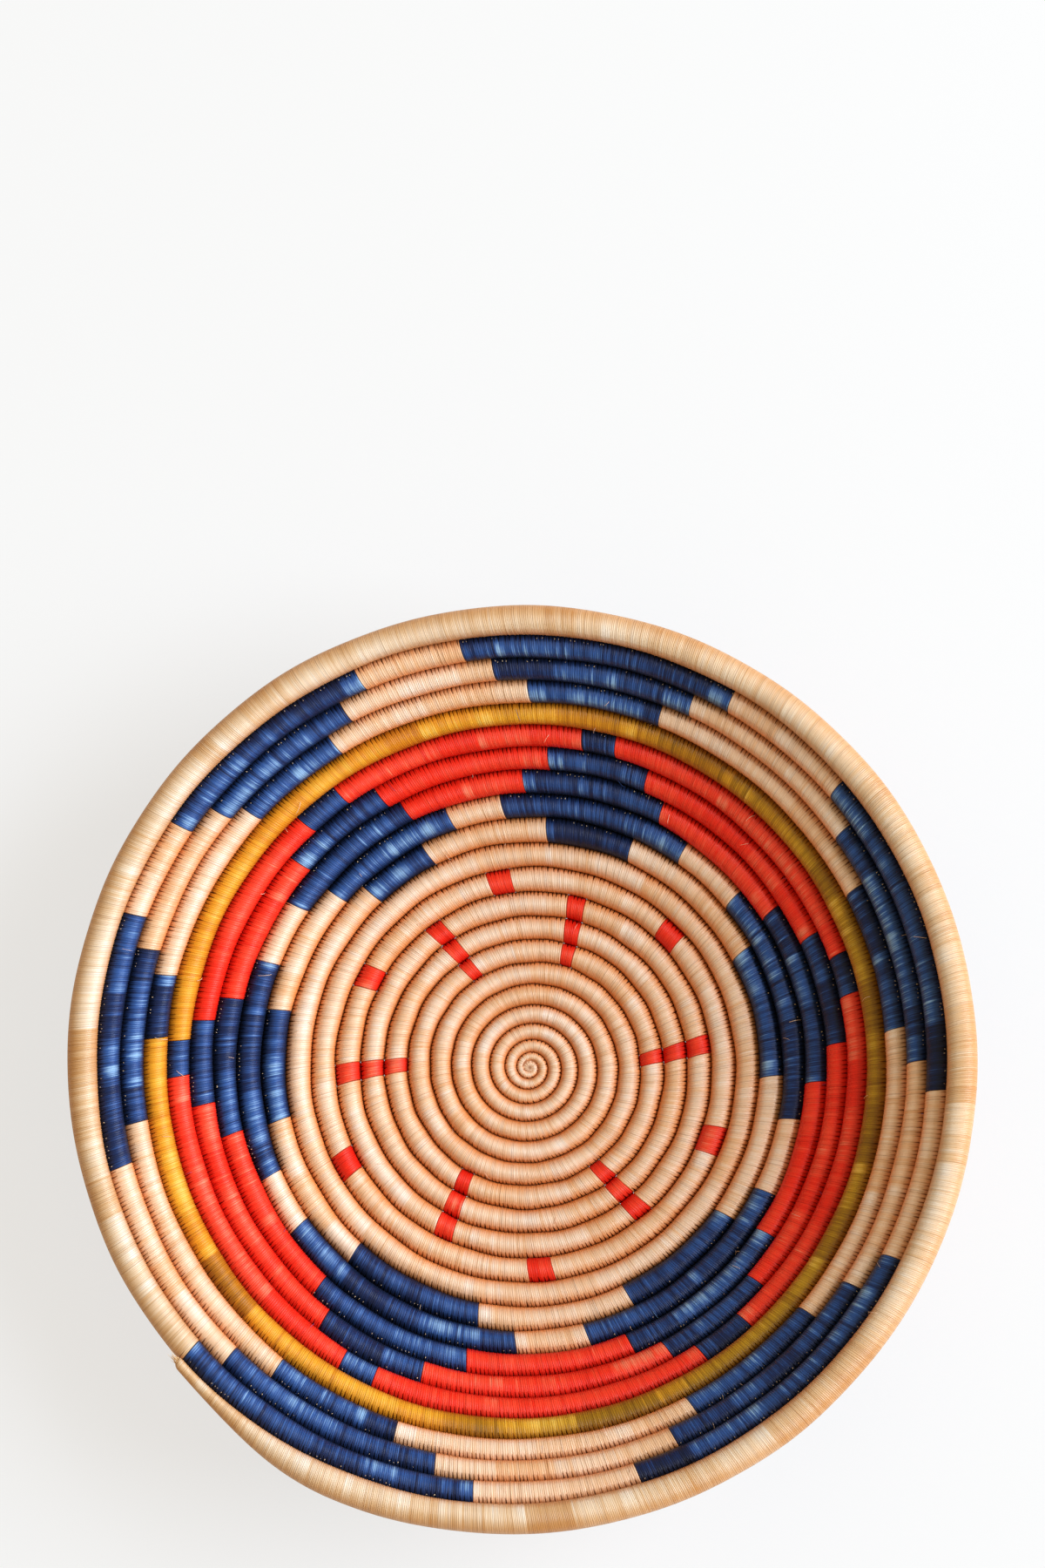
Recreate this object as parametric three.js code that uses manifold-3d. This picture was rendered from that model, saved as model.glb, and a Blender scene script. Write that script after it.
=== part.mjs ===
// A coiled bowl basket, in millimetres, +Z up, resting on z = 0 with its axis on the origin.
//
// One grass rope winds outward from the middle, first as a flat base and then up a flared wall. Strands of
// dyed sisal are wrapped round it run by run, and every stitch also bites into the turn before, so that the
// runs of one colour that lie side by side are sewn into one field. Each field is a hollow sleeve round the
// rope. The rope itself is one unbroken length that shows only where it comes out at the end of the rim.

import * as THREE from "three";
import { mergeVertices } from "three/addons/utils/BufferGeometryUtils.js";
import Module from "manifold-3d";

// Wall profile, measured through the middle of the coil
const flatRadius = 42; // radius of the flat base
const bendRadius = 110; // curve between the base and the wall
const wallSlope = 43; // degrees from the floor, at the rim

// Coil
const turnPitch = 9.4; // from one turn to the next, along the wall
const firstPitch = 1.9; // the same at the very middle, where the coil is only a few fibres thick
const growthTurns = 3.6; // how slowly the coil comes up to its full thickness
const coilThickness = 9.6; // from the inside of the bowl to the outside, over the wrapping
const shoulderShare = 0.5; // height of the pressed flat between two turns, as a share of the thickness
const knotRadius = 3.4; // closed knot that the coil starts from
const knotThickness = 3.8;
const knotGrip = 0.4; // how far the first turn is sewn over the knot
const knotLeave = 30; // degrees over which the second turn leaves the knot
const footCut = 0.95; // how deep the base turns are pressed flat where the basket stands

// Rim
const rimSwell = 1.08; // the last turn is this much thicker than the one it lies on
const swellAngle = 60; // degrees of turn over which it thickens
const tailAngle = 34; // degrees over which the end of the coil tapers
const tailShare = 0.45; // thickness left at the end
const grassTail = 7; // length of bare grass past the last stitch

// Wrapping
const wrapWall = 1.5; // least cover over the rope at the full thickness of the coil
const ropeClearance = 0.3; // between the rope and its cover
const fieldGap = 0.3; // between fields of different colours

// Places along the coil are degrees wound since the middle, so that one full turn is 360
const coilStart = 360;
const ropeStart = 830; // up to here the strands close into a solid core
const goldStart = 6228; // where the gold turn begins
const seamAzimuth = 176; // compass direction of that point, counter-clockwise from +X
const coilEnd = goldStart + 4 * 360 + 314;
const stepsPerTurn = 20;
const ticksPerDegree = 100; // pieces that meet share points, so their places are whole numbers of ticks
const shortestSeam = 1.5; // runs that meet along less than this aren't sewn together
const knotSteps = 8; // facets of the knot from its underside to its top
const pointsMerge = 1e-4; // points nearer to each other than this are one

// The weaver's chart, turn by turn from the middle outwards, as degrees after the seam. Each turn has a ground
// colour and blocks of a second colour. A block that runs on past 360 ends in the next turn.
const seamTurn = (number) => goldStart + 360 * number;
const barSlant = 1.2; // each turn's bars start this much before the bars of the turn inside it
const barWidth = 6;
const bars = [52, 102, 169, 228, 293, 354];
const barRow = (rowsOut) =>
  bars.map((first) => [first - rowsOut * barSlant, first - rowsOut * barSlant + barWidth]);

const chart = [
  { turn: -10, ground: "natural", colour: "red", blocks: barRow(0) },
  { turn: -9, ground: "natural", colour: "red", blocks: barRow(1) },
  { turn: -8, ground: "natural", colour: "red", blocks: barRow(2) },
  {
    turn: -7,
    ground: "natural",
    colour: "red",
    blocks: [[22, 29], [74, 81], [130, 137], [194, 202], [259, 266], [325, 332]],
  },
  { turn: -6, ground: "natural", blocks: [] },
  {
    turn: -5,
    ground: "natural",
    colour: "navy",
    blocks: [[44, 61], [91, 112], [149, 179], [213, 242], [277, 309], [344, 369]],
  },
  {
    turn: -4,
    ground: "natural",
    colour: "navy",
    blocks: [[38, 69], [81, 123], [138, 188], [204, 253], [268, 321], [333, 378]],
  },
  {
    turn: -3,
    ground: "red",
    colour: "navy",
    blocks: [[31, 61], [86, 115], [145, 180], [211, 245], [277, 309], [343, 369]],
  },
  {
    turn: -2,
    ground: "red",
    colour: "navy",
    blocks: [[38, 58], [91, 110], [153, 173], [219, 239], [284, 304], [349, 364]],
  },
  {
    turn: -1,
    ground: "red",
    colour: "navy",
    blocks: [[44, 52], [97, 103], [158, 165], [225, 234], [291, 297], [354, 360]],
  },
  { turn: 0, ground: "gold", blocks: [] },
  {
    turn: 1,
    ground: "natural",
    colour: "navy",
    blocks: [[0, 10], [39, 56], [88, 109], [150, 172], [217, 239], [284, 304], [347, 373]],
  },
  {
    turn: 2,
    ground: "natural",
    colour: "navy",
    blocks: [[36, 60], [83, 113], [142, 177], [210, 243], [277, 310], [341, 377]],
  },
  {
    turn: 3,
    ground: "natural",
    colour: "navy",
    blocks: [[31, 64], [79, 118], [137, 181], [204, 249], [271, 314]],
  },
];
// The one place where the weaver left out the red: a short natural run under it
const missedRed = { first: seamTurn(-3) + 18, last: seamTurn(-3) + 31, colour: "natural" };

// Fields are named for their colour and for the band of turns that they lie in, each band up to this turn.
const bands = [
  { upTo: seamTurn(-10), names: { natural: "natural_centre" } },
  { upTo: seamTurn(-7), names: { natural: "natural_ground_", red: "red_bar_" } },
  { upTo: seamTurn(-5), names: { natural: "natural_turn", red: "red_square_" } },
  {
    upTo: seamTurn(0),
    names: { natural: "natural_inner_field_", red: "red_field_", navy: "navy_inner_motif_" },
  },
  { upTo: seamTurn(1), names: { gold: "gold_turn" } },
  { upTo: seamTurn(4), names: { natural: "natural_outer_field_", navy: "navy_outer_motif_" } },
  { upTo: Infinity, names: { natural: "rim_coil" } },
];

const colours = {
  natural: { color: 0xe6c096, roughness: 0.72, metalness: 0 },
  navy: { color: 0x22376b, roughness: 0.6, metalness: 0 },
  red: { color: 0xe8402a, roughness: 0.62, metalness: 0 },
  gold: { color: 0xc98f22, roughness: 0.62, metalness: 0 },
  grass: { color: 0xb99a5e, roughness: 0.9, metalness: 0 },
};

const radians = (degrees) => (degrees * Math.PI) / 180;
const clamp = (value, low, high) => Math.min(Math.max(value, low), high);
const ease = (share) => share * share * (3 - 2 * share);

// Distance from the middle, along the wall, to the middle of a coil that grows from firstPitch to turnPitch.
function alongWall(wound) {
  const turns = wound / 360;
  return turnPitch * turns - (turnPitch - firstPitch) * growthTurns * Math.atan(turns / growthTurns);
}

// The line between this turn and the next one out, along the wall.
function border(wound) {
  return (alongWall(wound) + alongWall(wound + 360)) / 2;
}

// Thickening of the last turn, and the taper at its end, as a factor.
function swell(wound) {
  const rise = ease(clamp((wound - (coilEnd - 360)) / swellAngle, 0, 1));
  const fall = ease(clamp((coilEnd - wound) / tailAngle, 0, 1));
  return (1 + (rimSwell - 1) * rise) * (tailShare + (1 - tailShare) * fall);
}

// The two sides of the coil along the wall. The first turn is drawn in against the knot.
function sides(wound) {
  const knot = 1 - ease(clamp((wound - 360 - coilStart) / knotLeave + 1, 0, 1));
  const plain = border(wound - 360) + fieldGap / 2;
  const inner = plain + (knotRadius - knotGrip - plain) * knot;
  const outer = border(wound) - fieldGap / 2;
  return wound > coilEnd - 360 ? [plain, plain + (outer - plain) * swell(wound)] : [inner, outer];
}

// Half the thickness of the coil: it keeps the same shape as it grows.
function halfThickness(wound) {
  const width = border(wound) - border(wound - 360);
  return ((coilThickness / 2) * width * swell(wound)) / turnPitch;
}

// A point of the wall, at a distance along it and a height off its middle surface, on the inside of the bowl
// when positive. It gives the radius and the height above the floor.
function wallPoint(along, off) {
  const bend = clamp((along - flatRadius) / bendRadius, 0, radians(wallSlope));
  const straight = Math.max(along - flatRadius - bendRadius * radians(wallSlope), 0);
  const radius = Math.min(along, flatRadius) + bendRadius * Math.sin(bend) + straight * Math.cos(bend);
  const height = bendRadius * (1 - Math.cos(bend)) + straight * Math.sin(bend);
  return [radius - off * Math.sin(bend), height + off * Math.cos(bend) + coilThickness / 2 - footCut];
}

// The degrees of turn that a length along the coil takes up.
function degreesAt(wound, length) {
  return THREE.MathUtils.radToDeg(length / wallPoint(alongWall(wound), 0)[0]);
}

// Corners of the coil's section, each a function of the place along the coil: six outside, where the flats
// face the neighbouring turns, and four round the bore. The rope has the bore's form less its clearance.
const outside = {
  outerLow: (wound) => [sides(wound)[1], -halfThickness(wound) * shoulderShare],
  outerHigh: (wound) => [sides(wound)[1], halfThickness(wound) * shoulderShare],
  crest: (wound) => [middle(wound), halfThickness(wound)],
  innerHigh: (wound) => [sides(wound)[0], halfThickness(wound) * shoulderShare],
  innerLow: (wound) => [sides(wound)[0], -halfThickness(wound) * shoulderShare],
  keel: (wound) => [middle(wound), -halfThickness(wound)],
};
const bore = diamond(0);
const rope = diamond(ropeClearance * Math.SQRT2);

function middle(wound) {
  const [inner, outer] = sides(wound);
  return (inner + outer) / 2;
}

function diamond(clearance) {
  const wall = (wound) => (wrapWall * halfThickness(wound)) / (coilThickness / 2) + clearance;
  return {
    right: (wound) => [sides(wound)[1] - wall(wound), 0],
    top: (wound) => [middle(wound), halfThickness(wound) - wall(wound)],
    left: (wound) => [sides(wound)[0] + wall(wound), 0],
    bottom: (wound) => [middle(wound), wall(wound) - halfThickness(wound)],
  };
}

// Position of a corner. Between two steps it lies on the straight line that joins them, so that pieces which
// end between steps still keep their distance to the turns on both sides.
const tickStep = (360 * ticksPerDegree) / stepsPerTurn;

function pointAt(corner, tick) {
  const before = Math.floor(tick / tickStep) * tickStep;
  const first = pointOnStep(corner, before);
  if (before === tick) return first;
  const second = pointOnStep(corner, before + tickStep);
  const passed = radians((tick - before) / ticksPerDegree);
  const left = radians((before + tickStep - tick) / ticksPerDegree);
  const near = Math.hypot(first.x, first.y) * Math.sin(passed);
  const far = Math.hypot(second.x, second.y) * Math.sin(left);
  return first.lerp(second, near / (near + far));
}

function pointOnStep(corner, tick) {
  const wound = tick / ticksPerDegree;
  const azimuth = radians(seamAzimuth + goldStart - wound);
  const [radius, height] = wallPoint(...corner(wound));
  return new THREE.Vector3(radius * Math.cos(azimuth), radius * Math.sin(azimuth), height);
}

// Collects triangles that face outwards. Every section lists its corners counter-clockwise, seen against the
// way the coil runs.
class Surface {
  positions = [];

  triangle(...points) {
    for (const point of points) this.positions.push(point.x, point.y, point.z);
  }

  // A band between two long edges, whose stops along the coil needn't be the same.
  band(cornerA, stopsA, cornerB, stopsB = stopsA) {
    const a = stopsA.map((tick) => pointAt(cornerA, tick));
    const b = stopsB.map((tick) => pointAt(cornerB, tick));
    let i = 0;
    let j = 0;
    while (i < a.length - 1 || j < b.length - 1) {
      const passA = i < a.length - 1 ? stopsA[i + 1] - stopsA[0] : Infinity;
      const passB = j < b.length - 1 ? stopsB[j + 1] - stopsB[0] : Infinity;
      if (passA <= passB) {
        this.triangle(a[i], b[j], a[i + 1]);
        i += 1;
      } else {
        this.triangle(a[i], b[j], b[j + 1]);
        j += 1;
      }
    }
  }

  // A flat face across the coil, from corners given as [corner, tick], facing on or back along the coil.
  face(places, facesOn) {
    const points = places.map(([corner, tick]) => pointAt(corner, tick));
    if (!facesOn) points.reverse();
    for (let i = 1; i < points.length - 1; i += 1) this.triangle(points[0], points[i], points[i + 1]);
  }

  geometry() {
    const loose = new THREE.BufferGeometry();
    loose.setAttribute("position", new THREE.Float32BufferAttribute(this.positions, 3));
    return mergeVertices(loose, pointsMerge);
  }
}

// Every stop from first to last: the ends, the steps between them and any extra stops that fall inside.
function stopsBetween(first, last, extra = []) {
  const stops = new Set([first, last, ...extra.filter((tick) => tick > first && tick < last)]);
  for (let tick = Math.ceil(first / tickStep) * tickStep; tick < last; tick += tickStep) stops.add(tick);
  return [...stops].sort((a, b) => a - b);
}

// A closed tube with the given corners.
function tube(corners, first, last) {
  const surface = new Surface();
  const list = Object.values(corners);
  const stops = stopsBetween(first, last);
  list.forEach((corner, i) => surface.band(corner, stops, list[(i + 1) % list.length]));
  surface.face(list.map((corner) => [corner, first]), false);
  surface.face(list.map((corner) => [corner, last]), true);
  return surface.geometry();
}

// The open end of a sleeve: the ring between its outside and its bore.
function sleeveEnd(surface, tick, facesOn) {
  const { outerLow, outerHigh, crest, innerHigh, innerLow, keel } = outside;
  const { right, top, left, bottom } = bore;
  const panels = [
    [outerLow, outerHigh, right],
    [outerHigh, top, right],
    [outerHigh, crest, top],
    [crest, innerHigh, top],
    [innerHigh, left, top],
    [innerHigh, innerLow, left],
    [innerLow, bottom, left],
    [innerLow, keel, bottom],
    [keel, outerLow, bottom],
    [outerLow, right, bottom],
  ];
  for (const panel of panels) surface.face(panel.map((corner) => [corner, tick]), facesOn);
}

// Where run b lies on the outside of run a: the stretch of a that they share, or null.
const turnTicks = 360 * ticksPerDegree;

function seamOf(a, b) {
  const first = Math.max(a.first, b.first - turnTicks);
  const last = Math.min(a.last, b.last - turnTicks);
  const radius = wallPoint(border(first / ticksPerDegree), 0)[0];
  return radius * radians((last - first) / ticksPerDegree) < shortestSeam ? null : { a, b, first, last };
}

function boreStart() {
  return Math.round((ropeStart - degreesAt(ropeStart, ropeClearance)) * ticksPerDegree);
}

// Both ends of a run. The first one of all is closed, with the bore starting further on.
function runEnds(surface, first, last, boreFirst) {
  if (boreFirst > first) {
    surface.face(Object.values(outside).map((corner) => [corner, first]), false);
    surface.face(Object.values(bore).map((corner) => [corner, boreFirst]), true);
  } else {
    sleeveEnd(surface, first, false);
  }
  sleeveEnd(surface, last, true);
}

// One field of colour: the sleeves of its runs, sewn together along the seams where they lie side by side.
function field(runs) {
  const surface = new Surface();
  const seams = runs.flatMap((a) => runs.map((b) => seamOf(a, b)).filter(Boolean));
  for (const run of runs) {
    const { first, last } = run;
    const outSeams = seams.filter((seam) => seam.a === run);
    const inSeams = seams
      .filter((seam) => seam.b === run)
      .map((seam) => ({ first: seam.first + turnTicks, last: seam.last + turnTicks }));
    const ends = (list) => list.flatMap((seam) => [seam.first, seam.last]);
    const plain = stopsBetween(first, last);
    const outStops = stopsBetween(first, last, ends(outSeams));
    const inStops = stopsBetween(first, last, ends(inSeams));
    surface.band(outside.outerHigh, outStops, outside.crest, plain);
    surface.band(outside.crest, plain, outside.innerHigh, inStops);
    surface.band(outside.innerLow, inStops, outside.keel, plain);
    surface.band(outside.keel, plain, outside.outerLow, outStops);
    for (const stops of bareStretches(outStops, outSeams)) {
      surface.band(outside.outerLow, stops, outside.outerHigh);
    }
    for (const stops of bareStretches(inStops, inSeams)) {
      surface.band(outside.innerHigh, stops, outside.innerLow);
    }
    const boreFirst = Math.max(first, boreStart());
    const boreStops = stopsBetween(boreFirst, last);
    const around = Object.values(bore);
    around.forEach((corner, i) => surface.band(around[(i + 1) % around.length], boreStops, corner));
    runEnds(surface, first, last, boreFirst);
  }
  for (const { first, last } of seams) {
    const inner = stopsBetween(first, last);
    const outer = inner.map((tick) => tick + turnTicks);
    surface.band(outside.outerLow, inner, outside.innerLow, outer);
    surface.band(outside.innerHigh, outer, outside.outerHigh, inner);
    for (const end of [first, last]) {
      const corners = [
        [outside.outerLow, end],
        [outside.innerLow, end + turnTicks],
        [outside.innerHigh, end + turnTicks],
        [outside.outerHigh, end],
      ];
      surface.face(corners, end === last);
    }
  }
  return surface.geometry();
}

// The stretches of a side, as lists of stops, that no seam covers.
function bareStretches(stops, seams) {
  const stretches = [];
  let start = stops[0];
  for (const seam of [...seams].sort((p, q) => p.first - q.first)) {
    if (seam.first > start) stretches.push([start, seam.first]);
    start = seam.last;
  }
  if (start < stops.at(-1)) stretches.push([start, stops.at(-1)]);
  return stretches.map(([first, last]) => stops.filter((tick) => tick >= first && tick <= last));
}

// The chart as one list of runs in the order the coil is wound. What is listed later covers what is earlier.
function colourRuns() {
  const painted = [
    { first: coilStart, last: coilEnd, colour: "natural" },
    ...chart.map(({ turn, ground }) => ({ first: seamTurn(turn), last: seamTurn(turn + 1), colour: ground })),
    ...chart.flatMap(({ turn, colour, blocks }) =>
      blocks.map(([first, last]) => ({ first: seamTurn(turn) + first, last: seamTurn(turn) + last, colour })),
    ),
    missedRed,
  ];
  const ends = [...new Set(painted.flatMap(({ first, last }) => [first, last]))].sort((a, b) => a - b);
  const runs = [];
  ends.slice(1).forEach((last, i) => {
    const first = ends[i];
    const { colour } = painted.findLast((run) => run.first <= first && run.last >= last);
    if (runs.at(-1)?.colour === colour) runs.at(-1).last = last;
    else runs.push({ first, last, colour });
  });
  return runs;
}

// The same runs in ticks, each drawn back from the next colour by half the distance between fields.
function sleeveRuns() {
  return colourRuns().map(({ first, last, colour }) => {
    const start = first === coilStart ? first : first + degreesAt(first, fieldGap / 2);
    const end = last === coilEnd ? last : last - degreesAt(last, fieldGap / 2);
    return {
      first: Math.round(start * ticksPerDegree),
      last: Math.round(end * ticksPerDegree),
      colour,
      names: bands.find(({ upTo }) => (first + last) / 2 < upTo).names,
    };
  });
}

// Runs sorted into fields: of one colour, in one band of turns, and sewn to each other.
function sortIntoFields(runs) {
  const fields = [];
  for (const run of runs) {
    const joins = (other) =>
      other.colour === run.colour && other.names === run.names && (seamOf(other, run) || seamOf(run, other));
    const touched = fields.filter((list) => list.some(joins));
    const rest = fields.filter((list) => !touched.includes(list));
    fields.splice(0, fields.length, ...rest, [...touched.flat(), run]);
  }
  return fields.sort((p, q) => p[0].first - q[0].first);
}

const wasm = await Module();
wasm.setup();

function toSolid(geometry) {
  const plain = new THREE.BufferGeometry().setAttribute("position", geometry.getAttribute("position"));
  plain.setIndex(geometry.index);
  const merged = mergeVertices(plain, pointsMerge);
  const vertProperties = new Float32Array(merged.getAttribute("position").array);
  return new wasm.Manifold(
    new wasm.Mesh({ numProp: 3, vertProperties, triVerts: new Uint32Array(merged.index.array) }),
  );
}

function toGeometry(solid) {
  const { vertProperties, triVerts } = solid.getMesh();
  const geometry = new THREE.BufferGeometry();
  geometry.setAttribute("position", new THREE.BufferAttribute(vertProperties, 3));
  return geometry.setIndex(new THREE.BufferAttribute(triVerts, 1));
}

// The closed knot that the coil starts from, a flattened ball.
function startKnot() {
  const half = knotThickness / 2;
  const profile = new THREE.Path();
  profile.moveTo(0, -half);
  profile.absellipse(0, 0, knotRadius, half, -Math.PI / 2, Math.PI / 2, false);
  const points = profile.getPoints(knotSteps / 2);
  points.forEach((point, i) => point.setX(i === 0 || i === points.length - 1 ? 0 : point.x));
  const knot = new THREE.LatheGeometry(points, stepsPerTurn);
  knot.rotateX(Math.PI / 2);
  return knot.translate(0, 0, wallPoint(0, 0)[1]);
}

// Presses the underside flat where the basket stands.
function standingFlat(geometry) {
  geometry.computeBoundingBox();
  if (geometry.boundingBox.min.z >= 0) return geometry;
  const { min, max } = geometry.boundingBox;
  const reach = 2 * Math.max(-min.x, max.x, -min.y, max.y) + coilThickness;
  const below = new THREE.BoxGeometry(reach, reach, coilThickness).translate(0, 0, -coilThickness / 2);
  return toGeometry(toSolid(geometry).subtract(toSolid(below)));
}

function wrappedFields() {
  const group = new THREE.Group();
  const counts = {};
  for (const runs of sortIntoFields(sleeveRuns())) {
    const { colour, names } = runs[0];
    let geometry = field(runs);
    if (runs[0].first === coilStart * ticksPerDegree) {
      geometry = toGeometry(toSolid(geometry).add(toSolid(startKnot())));
    }
    let name = names[colour];
    if (name.endsWith("_")) {
      counts[name] = (counts[name] ?? 0) + 1;
      name += counts[name];
    }
    group.add(pieceOf(name, standingFlat(geometry), colour));
  }
  return group;
}

function grassRope() {
  const places = [ropeStart, coilEnd + degreesAt(coilEnd, grassTail)];
  const ends = places.map((place) => Math.round(place * ticksPerDegree));
  console.log("grass_rope: least gap to itself " + ropeGap(...ends).toFixed(2) + " mm");
  return pieceOf("grass_rope", tube(rope, ...ends), "grass");
}

// Least distance between neighbouring turns of the rope, from the corners that face each other.
function ropeGap(first, last) {
  const gapAt = (tick) => pointAt(rope.right, tick).distanceTo(pointAt(rope.left, tick + turnTicks));
  return Math.min(...stopsBetween(first, last - turnTicks).map(gapAt));
}

function pieceOf(name, geometry, colour) {
  const shown = geometry.toNonIndexed();
  shown.computeVertexNormals();
  const mesh = new THREE.Mesh(shown, new THREE.MeshStandardMaterial(colours[colour]));
  mesh.name = name;
  return mesh;
}

const basket = new THREE.Group();
basket.name = "basket";
basket.add(grassRope(), wrappedFields());

export default basket;
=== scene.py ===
import bpy
import numpy as np
from mathutils import Matrix, Vector


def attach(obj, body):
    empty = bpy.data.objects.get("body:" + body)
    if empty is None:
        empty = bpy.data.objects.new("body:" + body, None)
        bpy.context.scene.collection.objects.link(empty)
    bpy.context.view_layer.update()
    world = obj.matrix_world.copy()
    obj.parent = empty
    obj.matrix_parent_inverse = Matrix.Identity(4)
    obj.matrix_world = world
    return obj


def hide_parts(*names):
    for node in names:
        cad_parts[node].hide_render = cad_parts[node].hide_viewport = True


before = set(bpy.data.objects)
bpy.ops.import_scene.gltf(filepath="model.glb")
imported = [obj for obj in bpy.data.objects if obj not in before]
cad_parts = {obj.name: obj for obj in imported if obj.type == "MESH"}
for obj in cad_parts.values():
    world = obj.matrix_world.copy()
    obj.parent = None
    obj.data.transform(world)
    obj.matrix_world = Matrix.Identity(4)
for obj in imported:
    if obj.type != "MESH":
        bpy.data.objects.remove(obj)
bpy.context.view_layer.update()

# The grass rope
# One bundle of dry grass stalks, about 9.8 m long, that the whole bowl is coiled from. It winds clockwise
# from the middle, flat over the base and then up the flared wall. Its last stalks show where the rim ends.
MM = 0.001
flat_radius = 42 * MM  # radius of the flat base
bend_radius = 110 * MM  # curve between the base and the wall
wall_slope = np.radians(43)  # at the rim
turn_pitch = 9.4 * MM  # from one turn to the next, along the wall
first_pitch = 1.9 * MM  # the same at the very middle
growth_turns = 3.6  # how slowly the coil comes up to its full thickness
coil_thickness = 9.6 * MM
foot_cut = 0.95 * MM  # the base turns are pressed this flat
seam_azimuth = 176  # compass direction where the gold turn begins, counter-clockwise from +X
gold_start = 6228  # the same place, as degrees wound since the middle
coil_start = 70  # degrees wound where the first turn leaves the knot
first_inset = 0.3 * MM  # its distance from the very middle
rope_start = 830  # the strands close into a solid core up to here
coil_end = gold_start + 4 * 360 + 314  # the rim ends here
rim_swell = 1.08  # the last turn is thicker by this factor
swell_angle = 60  # degrees over which it comes up to that
tail_angle = 26  # degrees over which the end of the coil thins
tail_share = 0.36  # what is left of its thickness there
turn_gap = 0.005 * MM  # the wrapped turns all but touch
waver_depth = 0.384 * MM  # a hand-sewn coil is never quite even
thickness_waver = 0.022  # share of the thickness
waver_start = 1260  # the small turns before this are even
waver_rise = 1400  # degrees over which the waver comes up
grass_wall = 0.95 * MM  # from the outside of the wrapping to the grass
rope_room = 0.12 * MM  # between the grass and the inside of the wrapping
rope_step = 5 * MM  # from one ring of its points to the next
rope_twist = 95 * MM  # the bundle turns by one radian in this length
lobe_depth = 0.13  # grooves between its stalks, as a share of its radius
stalk_count = 7
grass_end = 0.8 * MM  # the bundle goes this far past the wrapping
grass_tail = 4.5 * MM  # and its longest single stalk this far


def ease(share):
    """3 s squared - 2 s cubed, for a share held between 0 and 1."""
    share = np.clip(share, 0, 1)
    return share * share * (3 - 2 * share)


def along_wall(wound):
    """Distance along the wall to the middle of the coil: pitch times turns, less a share of the arc tangent
    of turns, which is what the thin first turns lack."""
    turns = wound / 360
    return turn_pitch * turns - (turn_pitch - first_pitch) * growth_turns * np.arctan(turns / growth_turns)


def waver(wound, seed, *lengths):
    """A slow waver from -1 to 1 along the coil: the mean of sine waves of the given lengths in degrees."""
    phases = np.random.default_rng(seed).uniform(0, 2 * np.pi, len(lengths))
    waves = [np.sin(np.radians(360) * wound / length + phase) for length, phase in zip(lengths, phases)]
    return sum(waves) / len(lengths)


def border(wound):
    """The line between a turn and the next one out: halfway between their middles, with a shared waver."""
    plain = (along_wall(wound) + along_wall(wound + 360)) / 2
    uneven = ease((wound - waver_start) / waver_rise)
    return plain + waver_depth * uneven * waver(wound, 5, 17.3, 29.1, 47.7, 91.9)


def swell(wound):
    """Factor on the thickness: it rises along the rim and falls again over the tail of the coil, whose last
    degree is rounded off as a quarter circle."""
    rise = ease((wound - (coil_end - 360)) / swell_angle)
    fall = ease((coil_end - wound) / tail_angle)
    round_end = np.sqrt(1 - (1 - np.clip(coil_end - wound, 0, 1)) ** 2)
    return (1 + (rim_swell - 1) * rise) * (tail_share + (1 - tail_share) * fall) * (0.4 + 0.6 * round_end)


def curl(wound, first_share, angle):
    """Factor on the size of the first turn, which starts at first_share and is full after angle degrees."""
    return first_share + (1 - first_share) * ease((wound - coil_start) / angle)


def sides(wound):
    """Inner and outer side of the coil along the wall: the borders, less half the gap between turns. The
    first turn curls up against the middle."""
    inner = np.maximum(border(wound - 360) + turn_gap / 2, first_inset)
    outer = border(wound) - turn_gap / 2
    outer = inner + (outer - inner) * curl(wound, 0.25, 110)
    last = inner + (outer - inner) * swell(wound)
    return inner, np.where(wound > coil_end - 360, last, outer)


def half_thickness(wound):
    """Half the coil from the inside of the bowl to the outside: the full thickness times the share that its
    width has of the full pitch."""
    width = along_wall(wound + 180) - along_wall(wound - 180)
    even = coil_thickness / 2 * width / turn_pitch * swell(wound) * curl(wound, 0.3, 170)
    uneven = ease((wound - waver_start) / waver_rise)
    return even * (1 + thickness_waver * uneven * waver(wound, 8, 13.1, 23.7, 41.3))


def place(wound, along, off):
    """Points of the wall. Flat base, arc and straight wall in turn give the radius and the height for a
    distance along the wall, off moves inwards at right angles to it, and the degrees wound turn it
    clockwise."""
    bend = np.clip((along - flat_radius) / bend_radius, 0, wall_slope)
    straight = np.clip(along - flat_radius - bend_radius * wall_slope, 0, None)
    radius = np.minimum(along, flat_radius) + bend_radius * np.sin(bend) + straight * np.cos(bend)
    height = bend_radius * (1 - np.cos(bend)) + straight * np.sin(bend)
    radius = radius - off * np.sin(bend)
    height = np.maximum(height + off * np.cos(bend) + coil_thickness / 2 - foot_cut, 0)
    azimuth = np.radians(seam_azimuth + gold_start - wound)
    return np.stack([radius * np.cos(azimuth), radius * np.sin(azimuth), height], axis=-1)


# Length of coil wound so far, in metres, at every quarter degree
table_step = 0.25
wound_table = np.arange(0, coil_end + 90, table_step)
radius_table = np.hypot(*place(wound_table, along_wall(wound_table), 0 * wound_table).T[:2])
length_table = np.cumsum(radius_table) * np.radians(table_step)


def length_at(wound):
    return np.interp(wound, wound_table, length_table)


def wound_at(length):
    return np.interp(length, length_table, wound_table)


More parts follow.
